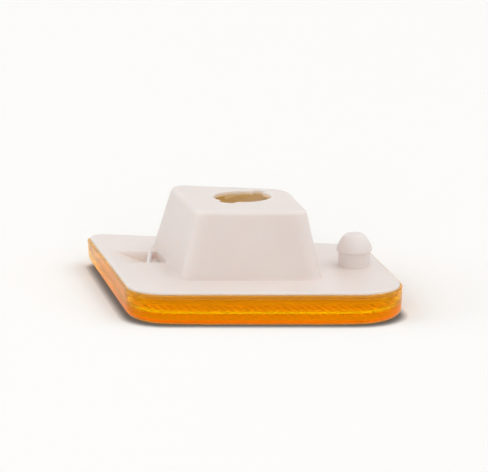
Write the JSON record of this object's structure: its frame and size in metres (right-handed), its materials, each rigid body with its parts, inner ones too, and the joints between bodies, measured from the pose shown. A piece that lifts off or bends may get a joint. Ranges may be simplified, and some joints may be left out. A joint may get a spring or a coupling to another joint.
{
  "type": "side turn-signal lamp body",
  "caption": "Amber tray lens and off-white housing of a vehicle side turn signal: hollow bulb tower with a twist-lock hole, snap peg and latch pocket.",
  "frame": {"origin": "on the axis of the bulb-holder hole, at the outer face of the lens on which the lamp rests", "axes": "+Z along the hole axis, from the lens to the mounting side; +X along the straight long side of the lens, towards the locating peg; +Y from that long side towards the slanted back side"},
  "size_m": [0.0966, 0.0791, 0.03],
  "materials": {
    "amber_lens": "moulded transparent amber acrylic, polished",
    "seal": "cured sealing compound",
    "housing": "moulded natural ABS, satin"
  },
  "bodies": {
    "root": {"lens": "amber_lens", "lens_seal": "seal", "housing": "housing"}
  },
  "joints": []
}
